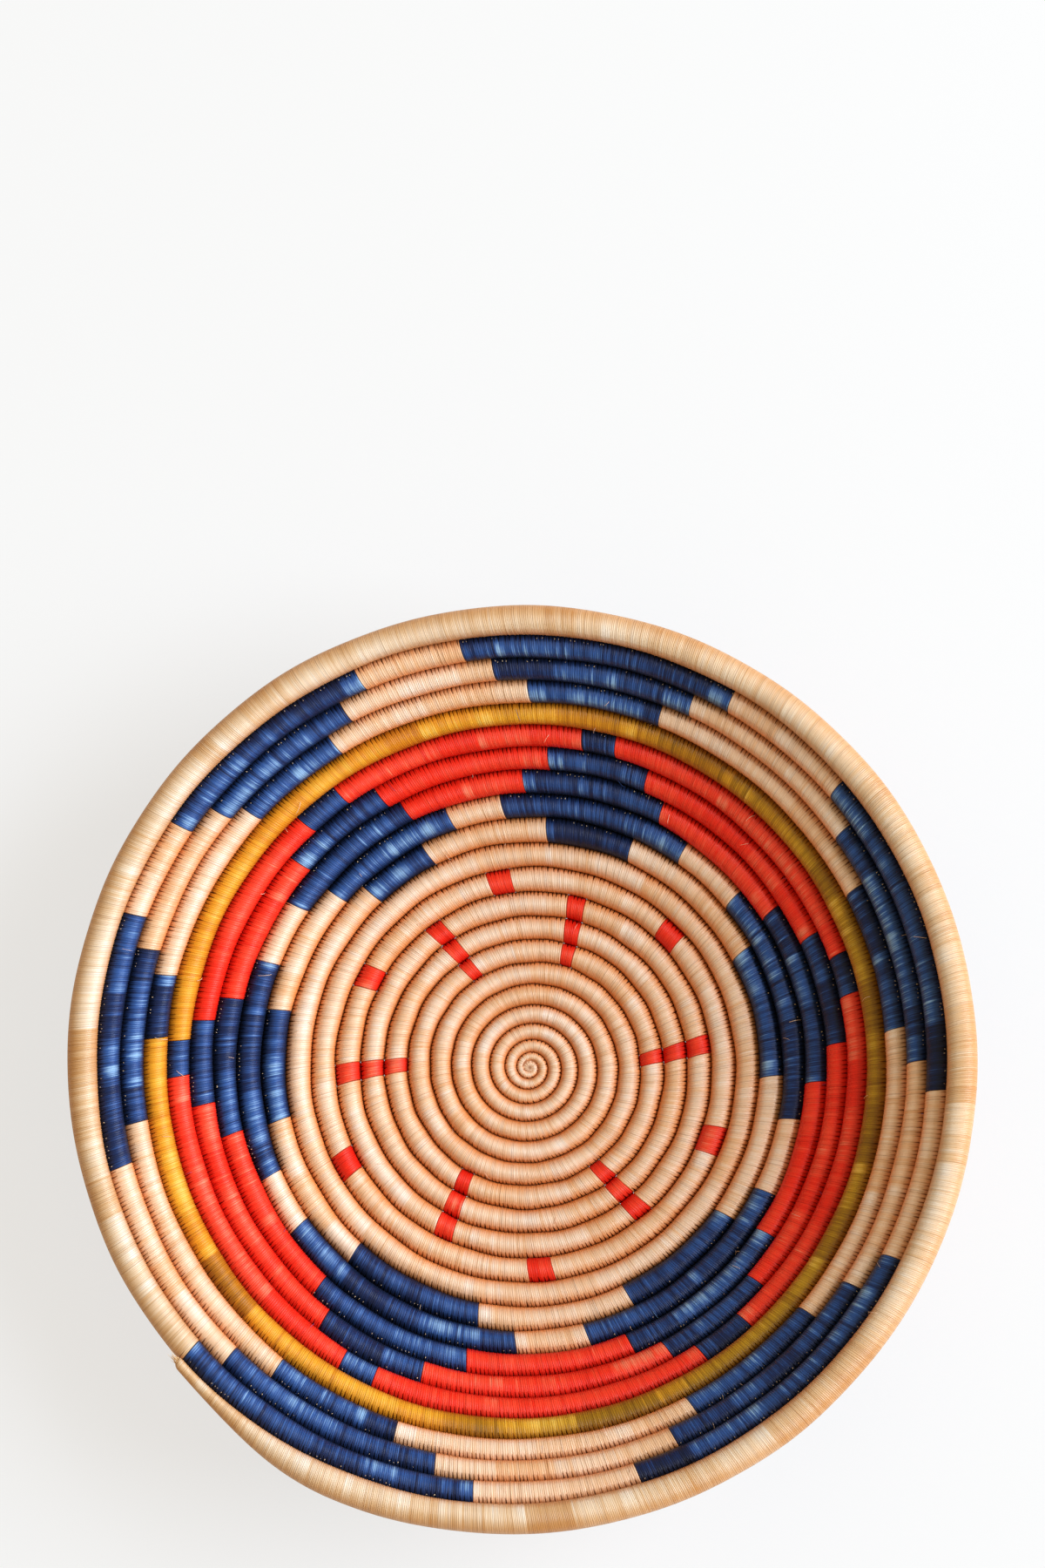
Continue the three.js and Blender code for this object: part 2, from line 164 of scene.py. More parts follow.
def around(count, fullness=1.86, crowding=0.16):
    """A rounded section of count points, as angles, unit offsets outwards and upwards, and outward normals: a
    superellipse, |x|^n + |y|^n = 1, with its points closer together where the turns meet."""
    turn = np.arange(count) * 2 * np.pi / count
    angle = turn - crowding * np.sin(2 * turn)
    x, y = (np.sign(v) * np.abs(v) ** (2 / fullness) for v in (np.cos(angle), np.sin(angle)))
    normal = np.stack([np.sign(x) * np.abs(x) ** (fullness - 1), np.sign(y) * np.abs(y) ** (fullness - 1)])
    return angle, x, y, normal / np.hypot(*normal)


def grid_faces(rows, columns, flip=False):
    """Quads of a grid that closes round its columns, facing outwards when the rows follow the coil."""
    row, column = np.meshgrid(np.arange(rows - 1), np.arange(columns), indexing="ij")
    following = (column + 1) % columns
    corners = [(row, column), (row, following), (row + 1, following), (row + 1, column)]
    quads = np.stack([r * columns + c for r, c in corners], axis=-1).reshape(-1, 4)
    return quads[:, ::-1] if flip else quads


def grid_map(along, across, flip=False):
    """UV of the corners of grid_faces, in metres along the coil and round it. across has one value more than
    the grid has columns, so that the last column's faces end where the way round does."""
    a = np.stack([along[:-1], along[:-1], along[1:], along[1:]], axis=-1)[:, None, :]
    b = np.stack([across[:-1], across[1:], across[1:], across[:-1]], axis=-1)[None, :, :]
    corners = np.stack(np.broadcast_arrays(a, b), axis=-1).reshape(-1, 4, 2)
    return corners[:, ::-1] if flip else corners


def joined(parts):
    """Several shapes as one. Each has points, quads, corner UVs and attributes, one value for each point."""
    starts = np.cumsum([0] + [len(part["points"]) for part in parts[:-1]])
    return {
        "points": np.concatenate([part["points"] for part in parts]),
        "quads": np.concatenate([part["quads"] + start for part, start in zip(parts, starts)]),
        "map": np.concatenate([part["map"] for part in parts]),
        **{
            name: np.concatenate([part[name] for part in parts])
            for name in ("tone", "ridge", "groove", "notch", "speck")
        },
    }


def make_piece(name, shape, material, stands_for):
    """Puts a shape into a mesh object, smooth all over, that rides on the frame in place of a CAD node."""
    mesh = bpy.data.meshes.new(name)
    quads = shape["quads"]
    mesh.vertices.add(len(shape["points"]))
    mesh.loops.add(quads.size)
    mesh.polygons.add(len(quads))
    mesh.vertices.foreach_set("co", shape["points"].astype(np.float32).ravel())
    mesh.loops.foreach_set("vertex_index", quads.astype(np.int32).ravel())
    mesh.polygons.foreach_set("loop_start", np.arange(len(quads), dtype=np.int32) * 4)
    mesh.polygons.foreach_set("use_smooth", np.ones(len(quads), bool))
    mesh.uv_layers.new(name="wrap").data.foreach_set("uv", shape["map"].astype(np.float32).ravel())
    for attribute in ("tone", "ridge", "groove", "notch", "speck"):
        values = mesh.attributes.new(attribute, "FLOAT", "POINT").data
        values.foreach_set("value", shape[attribute].astype(np.float32))
    mesh.update()
    mesh.validate()
    mesh.materials.append(material)
    piece = bpy.data.objects.new(name, mesh)
    bpy.context.scene.collection.objects.link(piece)
    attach(piece, "root")
    if stands_for:
        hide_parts(stands_for)


def tube(centres, out, up, half_width, half_height, tone, fineness):
    """A closed tube: a round section carried along centres on the directions out and up, whose ends are drawn
    together to a point. Half widths may change from ring to ring."""
    angle = np.arange(fineness) * 2 * np.pi / fineness
    wide = half_width[:, None, None] * np.cos(angle)[None, :, None] * out[:, None, :]
    high = half_height[:, None, None] * np.sin(angle)[None, :, None] * up[:, None, :]
    rings = centres[:, None, :] + wide + high
    length = np.cumsum(np.r_[0, np.linalg.norm(np.diff(centres, axis=0), axis=1)])
    return {
        "points": rings.reshape(-1, 3),
        "quads": grid_faces(len(centres), fineness),
        "map": grid_map(length, np.linspace(0, 2 * np.pi, fineness + 1) * half_width.max()),
        "tone": np.full(rings[..., 0].size, tone),
        **{name: np.zeros(rings[..., 0].size) for name in ("ridge", "groove", "notch", "speck")},
    }


class Socket:
    """One output of a node. Python's operators on it add Math nodes to the same material."""

    def __init__(self, tree, output):
        self.tree = tree
        self.output = output

    def math(self, operation, *values):
        return add_node(self.tree, "ShaderNodeMath", {"operation": operation}, dict(enumerate(values)))

    def __add__(self, other):
        return self.math("ADD", self, other)

    def __sub__(self, other):
        return self.math("SUBTRACT", self, other)

    def __rsub__(self, other):
        return self.math("SUBTRACT", other, self)

    def __mul__(self, other):
        return self.math("MULTIPLY", self, other)

    def __pow__(self, other):
        return self.math("POWER", self, other)

    def limited(self):
        return self.math("MINIMUM", self.math("MAXIMUM", self, 0.0), 1.0)

    __radd__ = __add__
    __rmul__ = __mul__


def add_node(tree, kind, settings, sockets, output=0):
    """Adds a node: first its settings, a ramp's stops among them, then the values or links of its sockets."""
    node = tree.nodes.new(kind)
    for name, value in settings.items():
        if name == "stops":
            ramp = node.color_ramp
            while len(ramp.elements) < len(value):
                ramp.elements.new(0.5)
            for element, (position, colour) in zip(ramp.elements, value):
                element.position = position
                element.color = colour
        else:
            setattr(node, name, value)
    for name, value in sockets.items():
        if isinstance(value, Socket):
            tree.links.new(value.output, node.inputs[name])
        else:
            node.inputs[name].default_value = value
    return Socket(tree, node.outputs[output])


def paint(red, green, blue):
    """A colour as written for a screen, 0 to 255, in the linear values that a shader takes."""
    share = np.array([red, green, blue]) / 255
    light = np.where(share <= 0.04045, share / 12.92, ((share + 0.055) / 1.055) ** 2.4)
    return (*map(float, light), 1.0)


def stretched_noise(tree, along, across, detail):
    """Noise drawn out round the coil as fibres are, with grains of the given sizes along it and round it."""
    place_on_wrap = add_node(tree, "ShaderNodeUVMap", {"uv_map": "wrap"}, {})
    grains = add_node(
        tree,
        "ShaderNodeVectorMath",
        {"operation": "MULTIPLY"},
        {0: place_on_wrap, 1: (1 / along, 1 / across, 1.0)},
    )
    return add_node(tree, "ShaderNodeTexNoise", {}, {"Vector": grains, "Scale": 1.0, "Detail": detail})


def mixed(tree, share, first, second):
    """Two colours mixed, by a share that goes from the first to the second."""
    settings = {"data_type": "RGBA", "blend_type": "MIX", "clamp_factor": True}
    return add_node(tree, "ShaderNodeMix", settings, {0: share, 6: first, 7: second}, output=2)


def dyed(tree, stops, share):
    """The colour at a share of the way along stops, each a place from 0 to 1 and a colour for paint."""
    ramp = {"stops": [(at, paint(*colour)) for at, colour in stops]}
    return add_node(tree, "ShaderNodeValToRGB", ramp, {"Fac": share})


def fibre_material(name, stops, side, notch_shade, side_shade_share, strand_share, roughness, gloss, olive_and_shade_stops=None):
    """Plant fibre. A strand's own tone picks its colour from the stops, fine fibres break it up, and painted
    shade takes the colour over to the side colour on the flanks where turns meet and where the surface is
    seen edge on, and to the notch colour in the notches between strands. Where a little undyed grass shows in
    a notch it is pale. With a second set of stops the colour drifts over to them in patches, as uneven dye,
    and across the bowl, as olive dye and painted shade on its +X side."""
    material = bpy.data.materials.new(name)
    material.use_nodes = True
    tree = material.node_tree
    surface = next(node for node in tree.nodes if node.type == "BSDF_PRINCIPLED")
    tone, ridge, groove, notch, speck = (
        add_node(tree, "ShaderNodeAttribute", {"attribute_name": attribute}, {}, output=2)
        for attribute in ("tone", "ridge", "groove", "notch", "speck")
    )
    fine = stretched_noise(tree, along=0.16 * MM, across=5 * MM, detail=2.0)
    coarse = stretched_noise(tree, along=0.55 * MM, across=14 * MM, detail=2.0)
    share = (0.5 + tone * strand_share + (fine - 0.5) * 0.4 + (coarse - 0.5) * strand_share).limited()
    body = dyed(tree, stops, share)
    if olive_and_shade_stops:
        where = add_node(tree, "ShaderNodeTexCoord", {}, {}, output=3)
        patches = add_node(tree, "ShaderNodeTexNoise", {}, {"Vector": where, "Scale": 30.0, "Detail": 1.0})
        drift = {0: where, 1: (8.0, -2.5, 0.0)}  # per metre, darker to +X and -Y: olive dye and, on +X, painted shade
        dye_and_shade_drift = add_node(tree, "ShaderNodeVectorMath", {"operation": "DOT_PRODUCT"}, drift, output=1)
        second = dyed(tree, olive_and_shade_stops, share)
        uneven = dye_and_shade_drift + (patches - 0.5) * 1.8 - tone * 0.5 + 0.4
        body = mixed(tree, uneven.limited(), body, second)
    # Painted shade: the side colour comes over the flanks where turns meet and where the surface is seen edge
    # on, and the notch colour darkens the notches between strands.
    edge_on_shade = add_node(tree, "ShaderNodeLayerWeight", {}, {"Blend": 0.5}, output=1)
    body = mixed(tree, (groove + edge_on_shade**1.4 * 0.5).limited() * side_shade_share, body, paint(*side))
    body = mixed(tree, notch, body, paint(*notch_shade))
    body = mixed(tree, speck**2, body, paint(*bare_grass))
    strand_round = ridge * (2 - ridge)
    bump = add_node(
        tree,
        "ShaderNodeBump",
        {},
        {"Strength": 0.8, "Distance": 0.12 * MM, "Height": fine * 0.8 + coarse * 0.5 + strand_round * 0.9},
    )
    tree.links.new(body.output, surface.inputs["Base Color"])
    rough = roughness + (coarse - 0.5) * 0.25 + notch * 0.2
    tree.links.new(rough.output, surface.inputs["Roughness"])
    tree.links.new(bump.output, surface.inputs["Normal"])
    surface.inputs["Specular IOR Level"].default_value = gloss
    return material


bare_grass = (214, 192, 160)  # where it shows between the strands of the wrapping
grass_material = fibre_material(
    "dry_grass",
    stops=[(0.0, (214, 164, 108)), (0.5, (240, 206, 156)), (1.0, (252, 236, 208))],
    # The side colour and the one after it are painted shade, on the flanks and in the notches.
    side=(206, 154, 96),
    notch_shade=(120, 84, 44),
    side_shade_share=0.4,
    strand_share=0.4,
    roughness=0.7,
    gloss=0.3,
)


def grass_rope():
    """The bundle: a rounded section in lobes, radius less a share of (1 - |cos|), carried along the coil
    with a slow twist, and past the last stitch a spray of single stalks."""
    end = wound_at(length_at(coil_end) + grass_end)
    length = np.arange(length_at(rope_start), length_at(end), rope_step)
    length = np.r_[length, length_at(end)]
    wound = wound_at(length)
    count = 3 * stalk_count
    angle = np.arange(count) * 2 * np.pi / count
    twist = length[:, None] / rope_twist
    shrink = 1 - lobe_depth * (1 - np.abs(np.cos(stalk_count / 2 * (angle[None, :] + twist))))
    inner, outer = sides(wound)
    wall = grass_wall * half_thickness(wound) / (coil_thickness / 2) + rope_room
    cap = np.ones(len(wound))
    cap[[0, -1]] = 0.02
    wide = ((outer - inner) / 2 - wall)[:, None] * cap[:, None] * shrink * np.cos(angle)
    high = (half_thickness(wound) - wall)[:, None] * cap[:, None] * shrink * np.sin(angle)
    points = place(wound[:, None], ((inner + outer) / 2)[:, None] + wide, high)
    bundle = {
        "points": points.reshape(-1, 3),
        "quads": grid_faces(len(wound), count),
        "map": grid_map(length, np.linspace(0, 24 * MM, count + 1)),
        "tone": np.broadcast_to(np.cos(stalk_count * angle)[None, :] * 0.4, points.shape[:2]).ravel(),
        # Painted shade in the grooves between the stalks.
        "groove": np.broadcast_to(1 - shrink / shrink.max(), points.shape[:2]).ravel(),
        **{name: np.zeros(points[..., 0].size) for name in ("ridge", "notch", "speck")},
    }
    return joined([bundle, *loose_stalks(26)])


def loose_stalks(count):
    """Stalk ends that stand out of the end of the coil. Each starts inside it, runs along it and bends aside
    as the square of the way it has come."""
    rng = np.random.default_rng(3)
    inner, outer = sides(np.array([coil_end - 0.5]))
    spread = (outer - inner)[0] * 0.3
    stalks = []
    for _ in range(count):
        reach = rng.uniform(0.3, 1) ** 2 * grass_tail
        share = np.linspace(0, 1, 7)
        wound = wound_at(length_at(coil_end) - 2 * MM + share * (reach + 2 * MM))
        start = rng.uniform(-1, 1, 2) * spread
        bend = rng.normal(0, 0.9, 2) * MM - (0.5 * MM, 0.3 * MM)
        along = (inner + outer)[0] / 2 + start[0] + bend[0] * share**2 + border(wound) - border(coil_end)
        off = start[1] + bend[1] * share**2
        centres = place(wound, along, off)
        out = place(wound, along + MM, off) - centres
        up = place(wound, along, off + MM) - centres
        thick = rng.uniform(0.06, 0.15) * MM * np.array([0.02, 1, 1, 1, 0.9, 0.75, 0.03])
        stalks.append(tube(centres, out / MM, up / MM, thick, thick, rng.uniform(-0.6, 1), 6))
    return stalks


make_piece("grass_bundle", grass_rope(), grass_material, "grass_rope")

# The start knot and the middle turns
# Undyed sisal. The first strands are knotted into a small button, and from there the wrapping goes round a
# few stalks at first and more with each turn. Every second or third strand is a stitch, which also bites into
# the turn before.
strand_width = 0.7 * MM
strand_spread = (0.72, 1.28)  # widths of single strands, as shares of that
strand_lift = (0.04, 0.13)  # mm that their crests stand out
proud_share = 0.04  # so many strands stand out further
proud_lift = 0.14  # mm
stitch_lift = 0.16  # mm that a stitch stands out where it goes down
valley_depth = 0.1  # mm between two strands
bite_depth = 1.0  # mm that the hardest stitch bites in
bite_angles = (0.86, 0.5)  # radians round the section from the outermost point, and how far it fades over
notch_shade_angles = (0.72, 0.4)  # the same, for the painted shade in the notch
slant = np.tan(np.radians(9))  # the strands cross the coil a little askew
slant_waver = 0.35
section_points = 20
round_length = 29 * MM  # once round the section, for the fibres' pattern
run_inset = 0.04 * MM  # from each end of a run of colour to where its strands start
knot_radius = 3.2 * MM
knot_height = 1.05 * MM  # half of it
knot_ridge = 0.08 * MM

natural_material = fibre_material(
    "undyed_sisal",
    stops=[
        (0.0, (224, 154, 96)),
        (0.35, (240, 194, 148)),
        (0.65, (249, 220, 192)),
        (1.0, (255, 244, 234)),
    ],
    # The side colour and the one after it are painted shade, on the flanks and in the notches.
    side=(238, 143, 66),
    notch_shade=(112, 56, 24),
    side_shade_share=0.88,
    strand_share=0.34,
    roughness=0.4,
    gloss=0.85,
)


def strand_tones(count, rng):
    """A tone for each strand, -1 to 1. One length of fibre wraps 14 to 40 strands, so tones change in
    batches, with single strands a little off, and now and then a few pale ones where a new length was
    begun."""
    batch = np.searchsorted(np.cumsum(rng.integers(14, 40, count // 14 + 2)), np.arange(count), side="right")
    batches = rng.normal(0, 0.3, batch.max() + 1)
    since = np.arange(count) - np.searchsorted(batch, batch)
    fresh = (rng.random(batch.max() + 1) < 0.3)[batch] & (since < rng.integers(3, 9, batch.max() + 1)[batch])
    single = rng.normal(0, 0.17, count) + rng.choice([0, -0.5, 0.5], count, p=[0.94, 0.03, 0.03])
    return np.clip(batches[batch] + single + 0.55 * fresh, -1, 1)


def uncovered(wound):
    """0 where a further turn is sewn on, going over to 1 where the last turn lies bare."""
    return ease((wound - coil_end + 361) / 3)


def slanted(wound, x):
    """Degrees wound of a point that its strand carries x of the way from the coil's middle line to its side:
    slant times the distance, as an angle. The sides of the coil there come with it."""
    inner, outer = sides(wound)
    askew = slant * (1 + slant_waver * waver(wound, 21, 40.3, 77.9, 171.7))
    wound = wound - np.degrees(askew * x * (outer - inner) / 2 / np.interp(wound, wound_table, radius_table))
    return wound, *sides(wound)


def sleeve(first, last):
    """The wrapping of one run of the coil, a closed hollow sleeve. Its rows lie on the crest of each strand
    and in the valley between two. Crests stand out along the section's normal, and valleys are cut deeper
    and painted with shade near the outer side, where a stitch of the next turn bites. The painted side shade
    is |x|^n, with an n that makes it reach far over a wall turn's inner side and little over its outer one."""
    rng = np.random.default_rng(int(first * 10))
    start, end = length_at(first) + run_inset, length_at(last) - run_inset
    thickness_share = half_thickness(np.array([first, last])).mean() / (coil_thickness / 2)
    width = strand_width * (0.62 + 0.38 * thickness_share)
    count = max(int(round((end - start) / width)), 2)
    edges = np.cumsum(np.r_[0, rng.uniform(*strand_spread, count)])
    edges = start + (end - start) * edges / edges[-1]
    rows = np.sort(np.r_[edges, (edges[1:] + edges[:-1]) / 2])
    crest = np.arange(len(rows)) % 2 == 1
    wound = wound_at(rows)[:, None]
    angle, x, y, (normal_x, normal_y) = around(section_points)
    from_outside = np.abs(np.angle(np.exp(1j * angle)))
    shoulder = ease((bite_angles[0] - from_outside) / bite_angles[1]) * (1 - np.abs(x) ** 60)
    notch_shade_shoulder = ease((notch_shade_angles[0] - from_outside) / notch_shade_angles[1])
    inner_shoulder = np.exp(-(((np.pi - from_outside - 0.4) / 0.3) ** 2))
    free_side = uncovered(wound) * (x > 0)

    lift = rng.uniform(*strand_lift, count) + proud_lift * (rng.random(count) < proud_share)
    stitches = np.cumsum(rng.choice([2, 3], count // 2 + 2, p=[0.8, 0.2])) - 2
    bitten = np.isin(np.arange(count + 1), stitches)
    cut = np.where(bitten, rng.uniform(0.5, 1, count + 1), rng.uniform(0, 0.15, count + 1))
    cut = cut * (1 - uncovered(wound_at(edges)))
    cut[[0, -1]] = 0.1
    stand = np.empty((len(rows), section_points))
    stand[crest] = lift[:, None] * (1 - 0.9 * np.abs(x) ** 8)
    stand[crest] += stitch_lift * bitten[1:, None] * inner_shoulder
    stand[~crest] = -valley_depth * (1 - np.abs(x) ** 20) - bite_depth * cut[:, None] * shoulder
    stand *= MM * (width / strand_width) * (1 - 0.65 * free_side)
    stand[[0, -1]] -= valley_depth * MM

    tones = strand_tones(count, rng)
    tone = np.empty((len(rows), section_points))
    tone[crest] = tones[:, None]
    # Painted shade and highlight: the valleys between strands are 0.25 darker, the crest of the section is
    # lighter and its flanks darker, and pale batches show only towards the crest.
    tone[~crest] = ((np.r_[tones[0], tones] + np.r_[tones, tones[-1]]) / 2)[:, None] - 0.25
    tone = np.minimum(tone, tone * (1 - x**2)) + 0.4 - 0.7 * x**2
    # Painted shade on the flanks where turns meet, reaching far over a wall turn's inner side and less over
    # the bare outer side of the last turn.
    on_wall = np.clip((along_wall(wound) - flat_radius) / (bend_radius * wall_slope), 0, 1)
    painted_side_shade = np.abs(x) ** (1.9 + np.where(x > 0, 5, -0.7) * on_wall) * (1 - 0.55 * free_side)
    # Painted shade: a random dark in each valley between strands, a dark line where turns touch and a dark
    # wedge where a stitch bites.
    between = rng.uniform(0, 0.6, count + 1) ** 2
    notch = 0.7 * np.abs(x) ** 24 * (1 - free_side)
    notch[~crest] = np.maximum(notch[~crest], between[:, None] + 1.2 * cut[:, None] * notch_shade_shoulder)

    at, inner, outer = slanted(wound, x)
    along = (inner + outer) / 2 + x * (outer - inner) / 2 + normal_x * stand
    outside = place(at, along, y * half_thickness(at) + normal_y * stand)

    # The inside of the sleeve has its own, wider rows, and starts and ends where the outside does
    inside_count = max(int((end - start) / rope_step), 2)
    inside_rows = np.linspace(start, end, inside_count)
    at, inner, outer = slanted(wound_at(inside_rows)[:, None], x)
    high = half_thickness(at)
    wall = np.minimum(grass_wall * high / (coil_thickness / 2), (outer - inner) * 0.3)
    inside = place(at, (inner + outer) / 2 + x * ((outer - inner) / 2 - wall), y * (high - wall))

    outside_count = outside[..., 0].size
    outside_faces = grid_faces(len(rows), section_points)
    inside_faces = grid_faces(inside_count, section_points, flip=True) + outside_count
    ring = np.arange(section_points)
    following = (ring + 1) % section_points
    far_out = outside_count - section_points
    far_in = outside_count + inside[..., 0].size - section_points
    first_ring = np.stack([ring, outside_count + ring, outside_count + following, following], axis=-1)
    last_ring = np.stack([far_out + following, far_in + following, far_in + ring, far_out + ring], axis=-1)
    round_coil = np.arange(section_points + 1) / section_points * round_length
    ring_map = np.zeros((section_points * 2, 4, 2))
    none = np.zeros(inside[..., 0].size)
    return {
        "points": np.concatenate([outside.reshape(-1, 3), inside.reshape(-1, 3)]),
        "quads": np.concatenate([outside_faces, inside_faces, first_ring, last_ring]),
        "map": np.concatenate(
            [grid_map(rows, round_coil), grid_map(inside_rows, round_coil, flip=True), ring_map]
        ),
        "tone": np.concatenate([tone.ravel(), none]),
        "ridge": np.concatenate([np.repeat(crest, section_points), none]),
        # The inside of the sleeve takes the full painted side shade and a painted notch shade.
        "groove": np.concatenate([painted_side_shade.ravel(), none + 1]),
        "notch": np.concatenate([notch.ravel(), none + 0.6]),
        "speck": np.zeros(tone.size + none.size),
    }


def pale_stubs(first, last):
    """Undyed grass that shows in the groove on the outside of a navy run: short blunt stubs that stand
    between two stitches of the outer shoulder, now close together, now far apart."""
    rng = np.random.default_rng(int(first * 10) + 1)
    places = np.arange(length_at(first) + 0.6 * MM, length_at(last) - 0.6 * MM, 2 * strand_width)
    often = np.clip(0.3 + 0.5 * waver(wound_at(places), 9, 3.1, 7.7, 19.3), 0, 1)
    stubs = []
    for centre in places[rng.random(len(places)) < often]:
        share = np.linspace(-1, 1, 5)
        wound = wound_at(centre + rng.normal(0, 0.2 * MM)) + share * rng.normal(0, 0.05)
        side = border(wound) + rng.normal(-0.6, 0.14) * MM + share * rng.uniform(0.15, 0.32) * MM
        off = half_thickness(wound) * (rng.uniform(0.44, 0.56) - 0.07 * share**2)
        centres = place(wound, side, off)
        out = np.gradient(centres, axis=0)
        out /= np.linalg.norm(out, axis=1, keepdims=True)
        up = place(wound, side, off + MM) - centres
        up /= np.linalg.norm(up, axis=1, keepdims=True)
        thick = rng.uniform(0.12, 0.24) * MM * np.array([0.05, 0.9, 1, 0.9, 0.05])
        stub = tube(centres, np.cross(up, out), up, thick, thick, 0.0, 6)
        stubs.append({**stub, "speck": stub["speck"] + rng.uniform(0.75, 1)})
    return stubs


def start_knot():
    """The button under the first curl: a flattened ball, radius r sin t and height h cos t, with ridges that
    run outwards as strands do and a dimple, h times exp(-(t / 0.2)^2), where they meet."""
    rows, columns = 32, 72
    tilt = np.linspace(0.01, np.pi - 0.01, rows)[:, None]
    turn = -np.arange(columns)[None, :] * 2 * np.pi / columns
    ridge = np.cos(turn * 12 + tilt * 2) * np.sin(tilt) ** 0.6
    radius = knot_radius * np.sin(tilt)
    dimple = 0.4 * np.exp(-((tilt / 0.2) ** 2))
    height = (knot_height + knot_ridge * ridge) * np.cos(tilt) * (1 - dimple)
    height = height + coil_thickness / 2 - foot_cut
    # Painted shade and highlight: the notch shade darkens the button a little all over and more in the
    # dimple, at its edge and between its ridges, the side shade comes in towards its edge and in the dimple,
    # and the tone is lighter on the ridge tops.
    shade = np.maximum(dimple, 0.6 * np.sin(tilt) ** 6) + 0.2 - ridge * 0.3
    points = np.stack(np.broadcast_arrays(radius * np.cos(turn), radius * np.sin(turn), height), axis=-1)
    return {
        "points": points.reshape(-1, 3),
        "quads": grid_faces(rows, columns),
        "map": grid_map(np.linspace(0, 6 * MM, rows), np.linspace(0, 14 * MM, columns + 1))[..., ::-1],
        "tone": ridge.ravel() * 0.4 + 0.1,
        "ridge": ridge.ravel() * 0.5 + 0.5,
        "groove": (ridge * 0 + np.maximum(np.sin(tilt) ** 3, dimple)).ravel(),
        "notch": shade.clip(0, 1).ravel(),
        "speck": ridge.ravel() * 0,
    }


def seam_turn(number):
    """Degrees wound at the seam, where each turn of the pattern begins. The gold turn is number 0."""
    return gold_start + 360 * number


first_bar = seam_turn(-10) + 52
make_piece(
    "middle_turns",
    joined([start_knot(), sleeve(coil_start, first_bar)]),
    natural_material,
    "natural_centre",
)

# The base turns with the red bars
# Three turns of undyed sisal with six short red runs, one under the other and a little earlier each turn.
# The red strands are wrapped and stitched just as the undyed ones are.
bar_width = 6  # degrees round the coil
bar_starts = [52, 102, 169, 228, 293, 354]  # degrees after the seam
bar_slant = 1.2  # degrees earlier with each turn

red_material = fibre_material(
    "red_sisal_fibre",
    stops=[(0.0, (220, 25, 7)), (0.4, (248, 44, 20)), (0.7, (255, 76, 48)), (1.0, (255, 144, 112))],
    # The side colour and the one after it are painted shade, on the flanks and in the notches.
    side=(224, 22, 4),
    notch_shade=(136, 11, 4),
    side_shade_share=0.7,
    strand_share=0.35,
    roughness=0.44,
    gloss=0.35,
)


def runs_between(first, last, ground, blocks):
    """The runs from first to last, each [first, last, colour]: the ground with the blocks laid over it."""
    stops = sorted({first, last, *(stop for block in blocks for stop in block[:2])})
    runs = []
    for start, end in zip(stops, stops[1:]):
        middle = (start + end) / 2
        over = [block[2] for block in blocks if block[0] < middle < block[1]]
        colour = over[-1] if over else ground
        if runs and runs[-1][2] == colour:
            runs[-1][1] = end
        else:
            runs.append([start, end, colour])
    return runs


def sewn_fields(runs):
    """Runs of one colour that lie side by side in neighbouring turns are sewn into one field."""

    def meet(a, b):
        first, last = max(a[0], b[0] - 360), min(a[1], b[1] - 360)
        radius = np.interp(first + 180, wound_table, radius_table)
        return a[2] == b[2] and radius * np.radians(last - first) > 1.5 * MM

    fields = []
    for run in runs:
        touched = [field for field in fields if any(meet(other, run) or meet(run, other) for other in field)]
        fields = [field for field in fields if field not in touched]
        fields.append([other for field in touched for other in field] + [run])
    return sorted(fields, key=lambda field: field[0][0])


def wrap_fields(runs, finishes):
    """Makes each field's piece. finishes gives each colour its piece name, CAD name, material and slot."""
    counts = {}
    for field in sewn_fields(runs):
        colour = field[0][2]
        name, node, material, slot = finishes[colour]
        if node.endswith("_"):
            counts[colour] = counts.get(colour, 0) + 1
            name = name + "_" + str(counts[colour])
            node = node + str(counts[colour])
        stubs = [stub for first, last, _ in field for stub in pale_stubs(first, last) if colour == "navy"]
        shape = joined([sleeve(first, last) for first, last, _ in field] + stubs)
        make_piece(name, shape, material, node)


bar_rows = [
    [start, start + bar_width, "red"]
    for row, turn in enumerate([-10, -9, -8])
    for start in [seam_turn(turn) + bar_start - row * bar_slant for bar_start in bar_starts]
]
first_square_turn = bar_rows[-1][1]
wrap_fields(
    runs_between(first_bar, first_square_turn, "natural", bar_rows),
    {
        "natural": ("base_wrapping", "natural_ground_", natural_material, "natural_sisal"),
        "red": ("red_wrapping_bar", "red_bar_", red_material, "red_sisal"),
    },
)

# The red squares and the plain turn
# At the foot of the wall come two more undyed turns, wrapped and stitched like the ones before. The first of
# them has six red squares, set between the bars.
squares = [[22, 29], [74, 81], [130, 137], [194, 202], [259, 266], [325, 332]]
first_motif = seam_turn(-5) + 44
wrap_fields(
    runs_between(
        first_square_turn,
        first_motif,
        "natural",
        [[seam_turn(-7) + start, seam_turn(-7) + end, "red"] for start, end in squares],
    ),
    {
        "natural": ("plain_turn", "natural_turn", natural_material, "natural_sisal"),
        "red": ("red_wrapping_square", "red_square_", red_material, "red_sisal"),
    },
)

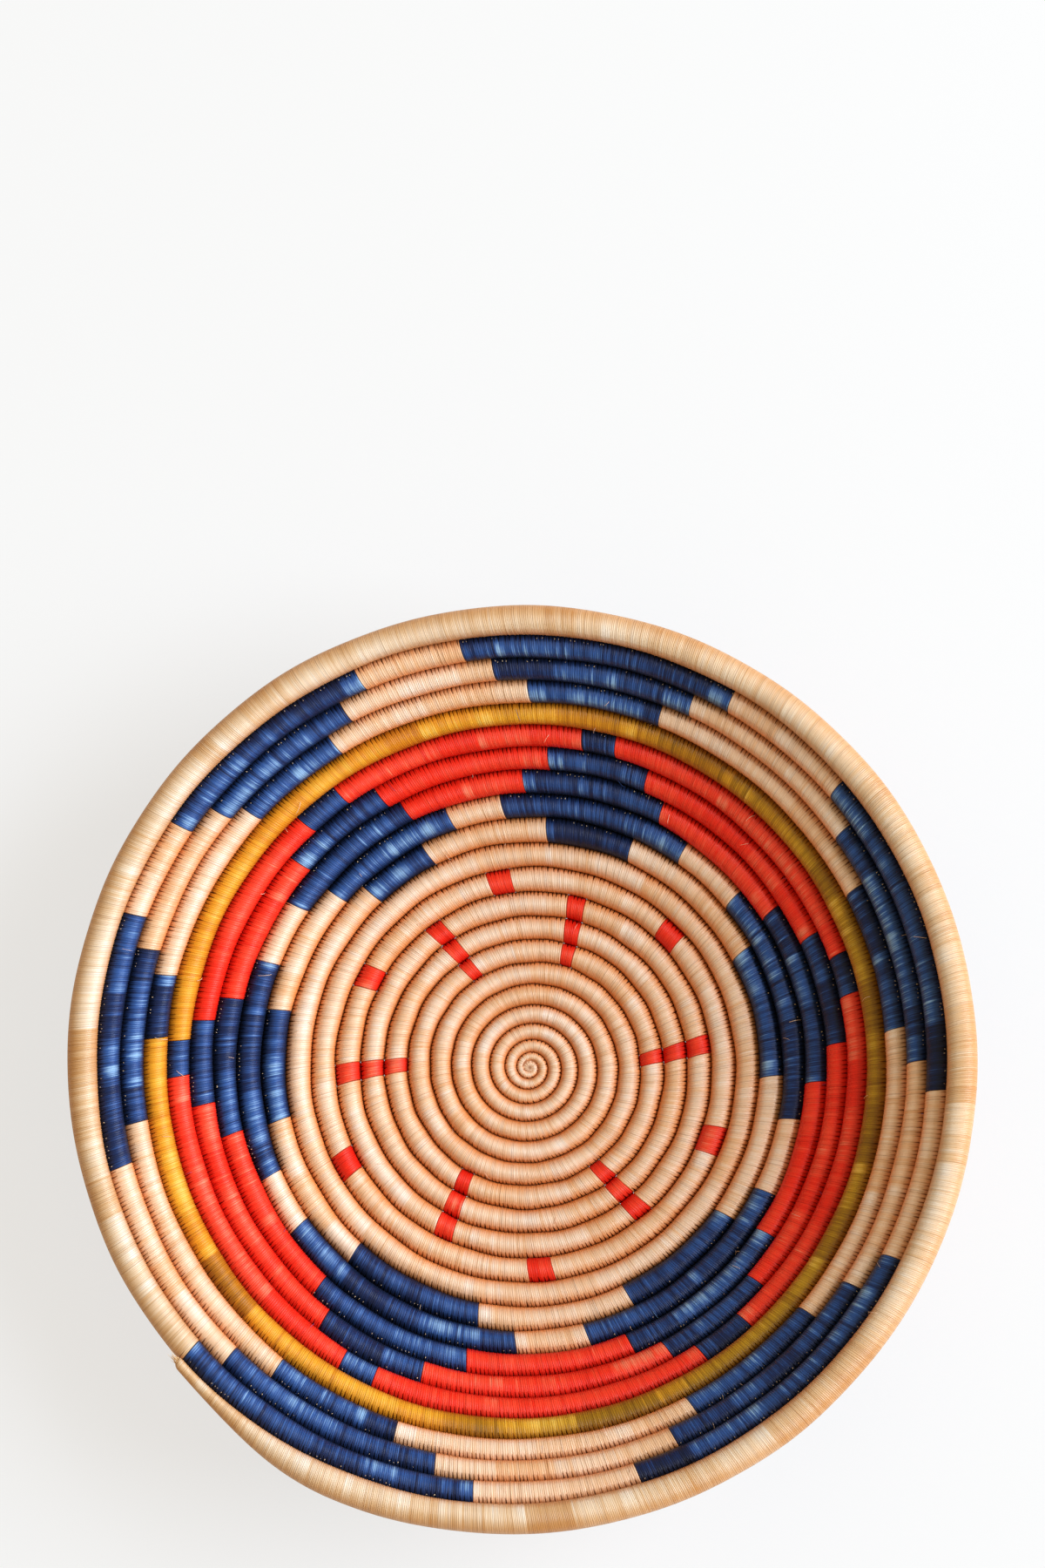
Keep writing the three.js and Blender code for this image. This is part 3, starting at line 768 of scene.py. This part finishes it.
# The inner ring of stepped motifs
# Navy sisal over five turns of the wall. Each motif widens, then narrows again by steps, and the fields
# between are undyed for two turns and red for three. Turns are sewn to each other all along.
inner_motifs = {
    -5: [[44, 61], [91, 112], [149, 179], [213, 242], [277, 309], [344, 369]],
    -4: [[38, 69], [81, 123], [138, 188], [204, 253], [268, 321], [333, 378]],
    -3: [[31, 61], [86, 115], [145, 180], [211, 245], [277, 309], [343, 369]],
    -2: [[38, 58], [91, 110], [153, 173], [219, 239], [284, 304], [349, 364]],
    -1: [[44, 52], [97, 103], [158, 165], [225, 234], [291, 297], [354, 360]],
}

navy_material = fibre_material(
    "navy_sisal_fibre",
    stops=[(0.0, (14, 20, 40)), (0.42, (20, 42, 92)), (0.72, (50, 94, 170)), (1.0, (144, 190, 240))],
    # The side colour and the one after it are painted shade, on the flanks and in the notches.
    side=(20, 29, 54),
    notch_shade=(20, 23, 33),
    side_shade_share=0.85,
    strand_share=0.42,
    roughness=0.42,
    gloss=0.26,
)


def motif_blocks(chart):
    """Navy runs of a chart that gives, for each turn, where they start and end in degrees after the seam."""
    return [
        [seam_turn(turn) + start, seam_turn(turn) + end, "navy"]
        for turn, blocks in chart.items()
        for start, end in blocks
    ]


red_ground = [[seam_turn(-3), seam_turn(0), "red"]]
missed_red = [[seam_turn(-3) + 18, seam_turn(-3) + 31, "natural"]]
wrap_fields(
    runs_between(first_motif, seam_turn(0), "natural", red_ground + motif_blocks(inner_motifs) + missed_red),
    {
        "natural": ("inner_wrapping", "natural_inner_field_", natural_material, "natural_sisal"),
        "red": ("red_wrapping", "red_field_", red_material, "red_sisal"),
        "navy": ("inner_motif", "navy_inner_motif_", navy_material, "navy_sisal"),
    },
)

# The gold turn
# One turn of gold sisal between the two rings, wrapped and stitched as the others are. The dye took unevenly,
# in patches and from bright gold on one side of the bowl to olive on the other, and the olive side is painted
# darker as well, as shade.
gold_material = fibre_material(
    "gold_sisal_fibre",
    stops=[(0.0, (190, 108, 8)), (0.42, (230, 148, 20)), (0.72, (245, 180, 46)), (1.0, (253, 214, 104))],
    # The side colour and the one after it are painted shade, on the flanks and in the notches.
    side=(182, 96, 5),
    notch_shade=(90, 50, 6),
    side_shade_share=0.7,
    strand_share=0.4,
    roughness=0.44,
    gloss=0.4,
    # The second stops: olive dye, and darker than the gold for the painted shade on the +X side of the bowl.
    olive_and_shade_stops=[(0.0, (112, 76, 6)), (0.42, (156, 114, 12)), (0.72, (190, 148, 28)), (1.0, (216, 182, 70))],
)
wrap_fields(
    [[seam_turn(0), seam_turn(1), "gold"]],
    {"gold": ("gold_wrapping", "gold_turn", gold_material, "gold_sisal")},
)

# The outer ring of stepped motifs
# Navy sisal again, over three turns of the wall, with undyed fields between. Each motif widens towards the
# rim by steps.
outer_motifs = {
    1: [[0, 10], [39, 56], [88, 109], [150, 172], [217, 239], [284, 304], [347, 373]],
    2: [[36, 60], [83, 113], [142, 177], [210, 243], [277, 310], [341, 377]],
    3: [[31, 64], [79, 118], [137, 181], [204, 249], [271, 314]],
}
rim_start = seam_turn(3) + 314
wrap_fields(
    runs_between(seam_turn(1), rim_start, "natural", motif_blocks(outer_motifs)),
    {
        "natural": ("outer_wrapping", "natural_outer_field_", natural_material, "natural_sisal"),
        "navy": ("outer_motif", "navy_outer_motif_", navy_material, "navy_sisal"),
    },
)

# The rim
# The last turn is undyed and thicker than the rest, and its colours are a little darker and less orange than
# the other undyed turns', with less gloss. It tapers to an end that is bound down on the turn below, and no
# stitch bites into its outer side.
rim_material = fibre_material(
    "undyed_rim_sisal",
    stops=[
        (0.0, (196, 144, 86)),
        (0.35, (224, 188, 144)),
        (0.65, (239, 217, 188)),
        (1.0, (247, 239, 226)),
    ],
    # The side colour and the one after it are painted shade, on the flanks and in the notches.
    side=(216, 148, 84),
    notch_shade=(112, 56, 24),
    side_shade_share=0.8,
    strand_share=0.44,
    roughness=0.4,
    gloss=0.7,
)
wrap_fields(
    [[rim_start, coil_end, "natural"]],
    {"natural": ("rim_wrapping", "rim_coil", rim_material, "natural_sisal")},
)

# Stray fibres
# Ends of strands that work loose as the bowl is handled. They are fine hairs that curl up from the wrapping
# here and there, undyed or of the navy sisal they come from.


def stray_fibres(count, seed, first, last):
    """Hairs as thin tubes. Each crosses the coil from one angle of its section to another, which moves it
    along as well, and lifts off it by a sine."""
    rng = np.random.default_rng(seed)
    hairs = []
    for _ in range(count):
        share = np.linspace(0, 1, 11)
        wound = wound_at(length_at(first) + rng.random() * (length_at(last) - length_at(first)))
        wound = wound_at(length_at(wound) + (rng.normal(0, 1.2) * share + rng.normal(0, 0.9) * share**2) * MM)
        angle = rng.uniform(0.5, 2.6) + rng.choice([-1, 1]) * rng.uniform(0.4, 1.1) * share
        lift = (0.14 + rng.uniform(0.1, 0.8) * np.sin(np.pi * share * rng.uniform(0.6, 1))) * MM
        inner, outer = sides(wound)
        across = (inner + outer) / 2 + np.cos(angle) * ((outer - inner) / 2 + lift)
        off = np.sin(angle) * (half_thickness(wound) + lift)
        centres = place(wound, across, off)
        ahead = np.gradient(centres, axis=0)
        ahead /= np.linalg.norm(ahead, axis=1, keepdims=True)
        up = place(wound, across, off + MM) - centres
        side = np.cross(up, ahead)
        side /= np.linalg.norm(side, axis=1, keepdims=True)
        thick = rng.uniform(0.045, 0.08) * MM * np.r_[0.05, np.ones(8), 0.8, 0.05]
        hairs.append(tube(centres, side, np.cross(ahead, side), thick, thick, rng.uniform(-0.2, 1), 5))
    return joined(hairs)


for name, count, seed, first, last, material, slot in (
    ("natural_hairs", 70, 31, 900, coil_end - 60, natural_material, "natural_sisal"),
    ("navy_hairs", 18, 32, first_motif, rim_start, navy_material, "navy_sisal"),
):
    make_piece(name, stray_fibres(count, seed, first, last), material, None)

# The stage
# A white table top with no edge in sight, which keeps the bowl's soft shadow. To the camera it is a darker
# white with a glow, which keeps the shadow as pale as it is in daylight, and from below it can be looked
# through.
table_colour = (0.8, 0.8, 0.8, 1)
table_seen = (0.262, 0.285, 0.31, 1)
table_glow = 0.668
table_reach = 6.0
table_height = -0.3 * MM  # just clear of the foot
table_material = bpy.data.materials.new("white_table")
table_material.use_nodes = True
table_tree = table_material.node_tree
table_surface = next(node for node in table_tree.nodes if node.type == "BSDF_PRINCIPLED")
table_output = next(node for node in table_tree.nodes if node.type == "OUTPUT_MATERIAL")
table_surface.inputs["Roughness"].default_value = 0.9
table_surface.inputs["Specular IOR Level"].default_value = 0
camera_ray = add_node(table_tree, "ShaderNodeLightPath", {}, {})
shown = mixed(table_tree, camera_ray, table_colour, table_seen)
table_tree.links.new(shown.output, table_surface.inputs["Base Color"])
glowing = {"Color": (1, 1, 1, 1), "Strength": camera_ray * table_glow}
glow = add_node(table_tree, "ShaderNodeEmission", {}, glowing)
plain = Socket(table_tree, table_surface.outputs[0])
lit = add_node(table_tree, "ShaderNodeAddShader", {}, {0: plain, 1: glow})
from_below = add_node(table_tree, "ShaderNodeNewGeometry", {}, {}, output=6)
clear = add_node(table_tree, "ShaderNodeBsdfTransparent", {}, {})
seen = add_node(table_tree, "ShaderNodeMixShader", {}, {0: from_below, 1: lit, 2: clear})
table_tree.links.new(seen.output, table_output.inputs["Surface"])

table_mesh = bpy.data.meshes.new("table_top")
corners = [(x * table_reach, y * table_reach, table_height) for x, y in [(-1, -1), (1, -1), (1, 1), (-1, 1)]]
table_mesh.from_pydata(corners, [], [(0, 1, 2, 3)])
table_mesh.materials.append(table_material)
table_top = bpy.data.objects.new("table_top", table_mesh)
bpy.context.scene.collection.objects.link(table_top)

# The light
# A large soft window on the right, low and slightly cool, lights the left of the bowl. The rest of the light
# comes from a dim room with warm walls, which look white where they are seen. Together they light a level
# surface so that its colour shows about as written.
window_distance = 3.0
window_elevation = np.radians(33)
window_azimuth = np.radians(7)
window_size = 2.1
window_power = 1.36
window_tint = (0.95, 1.0, 1.08)
room_tint = (1.2, 0.94, 0.6, 1)
room_power = 0.42
window = bpy.data.lights.new("window", "AREA")
window.shape = "SQUARE"
window.size = window_size
window.energy = window_power * np.pi**2 * window_distance**2
window.color = window_tint
window_object = bpy.data.objects.new("window", window)
towards = Vector(
    (
        np.cos(window_elevation) * np.cos(window_azimuth),
        np.cos(window_elevation) * np.sin(window_azimuth),
        np.sin(window_elevation),
    )
)
window_object.location = towards * window_distance
window_object.rotation_mode = "QUATERNION"
window_object.rotation_quaternion = towards.to_track_quat("Z", "Y")
bpy.context.scene.collection.objects.link(window_object)

room = bpy.data.worlds.new("white_room")
room.use_nodes = True
bpy.context.scene.world = room
room_tree = room.node_tree
room_light = next(node for node in room_tree.nodes if node.type == "BACKGROUND")
rays = [add_node(room_tree, "ShaderNodeLightPath", {}, {}, output=number) for number in (0, 6)]
plain_view = (rays[0] + rays[1]).limited()
room_colour = mixed(room_tree, plain_view, room_tint, (1, 1, 1, 1))
room_tree.links.new(room_colour.output, room_light.inputs["Color"])
room_strength = plain_view * (1 - room_power) + room_power
room_tree.links.new(room_strength.output, room_light.inputs["Strength"])

# The camera
# It looks almost straight down, from a little to the right and from the near side. The bowl stands low in the
# picture, so the camera is turned from it by the angles that the offset in pixels gives.
picture_height = 1800  # pixels
sensor_height = 36  # millimetres
focal_pixels = 4250
camera_distance = 1.286
lean_right, lean_near = np.tan(np.radians([6.4, 3.75]))
picture_place = (9.7, 326.6)  # pixels from the middle of the picture to the bowl's middle, right and down
lens = bpy.data.cameras.new("camera")
lens.sensor_width = sensor_height
lens.lens = focal_pixels * sensor_height / picture_height
lens.clip_start = 0.05
lens.clip_end = 50
camera = bpy.data.objects.new("camera", lens)
back = Vector((lean_right, -lean_near, 1)).normalized()
right = Vector((0, 1, 0)).cross(back).normalized()
above = back.cross(right)
turned = Matrix((right, above, back)).transposed()
pitch = np.arctan2(picture_place[1], focal_pixels)
yaw = np.arctan2(picture_place[0], focal_pixels)
turned = turned @ Matrix.Rotation(pitch, 3, "X") @ Matrix.Rotation(yaw, 3, "Y")
camera.matrix_world = Matrix.Translation(back * camera_distance) @ turned.to_4x4()
bpy.context.scene.collection.objects.link(camera)
bpy.context.scene.camera = camera
bpy.context.scene.view_settings.view_transform = "Standard"
